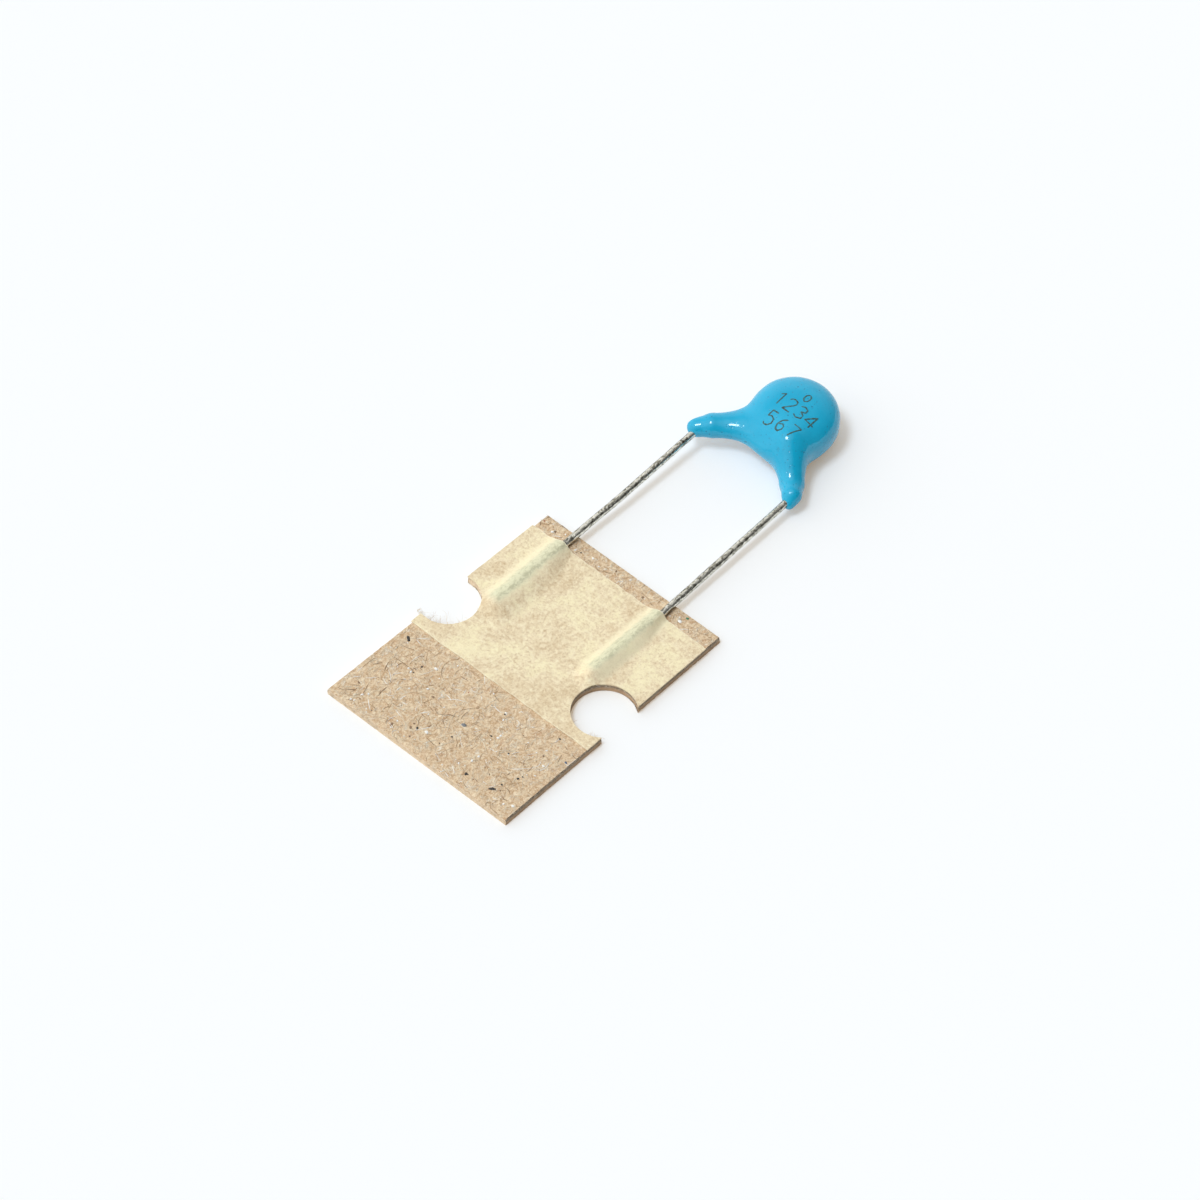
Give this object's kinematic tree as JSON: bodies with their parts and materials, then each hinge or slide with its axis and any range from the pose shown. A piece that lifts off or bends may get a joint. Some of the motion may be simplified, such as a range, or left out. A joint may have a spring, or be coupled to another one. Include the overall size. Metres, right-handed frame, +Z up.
{
  "type": "ceramic disc capacitor",
  "caption": "Small dipped ceramic disc capacitor with straight wires, its wire ends still taped to a cut-off length of card carrier strip.",
  "frame": {"origin": "in the underside of the carrier strip, halfway across its width and midway between the wires, on the surface that the part lies on", "axes": "+Z up from the surface, +Y along the wires from the strip to the disc, +X across the wires along the strip's feed direction"},
  "size_m": [0.0144, 0.036, 0.0035],
  "materials": {
    "ceramic": "matt fired ceramic",
    "silver": "matt silvered film",
    "solder": "dull solder",
    "tinned_wire": "tinned wire, lightly tarnished in streaks",
    "blue_coat": "glossy dipped coat",
    "card": "raw recycled card with fibres and specks",
    "crepe_tape": "matt cream crepe paper, slightly see-through"
  },
  "bodies": {
    "root": {"ceramic_disc": "ceramic", "electrode_front": "silver", "electrode_back": "silver", "solder_front": "solder", "solder_back": "solder", "lead_left": "tinned_wire", "lead_right": "tinned_wire", "coating": "blue_coat", "carrier_board": "card", "adhesive_tape": "crepe_tape"}
  },
  "joints": []
}
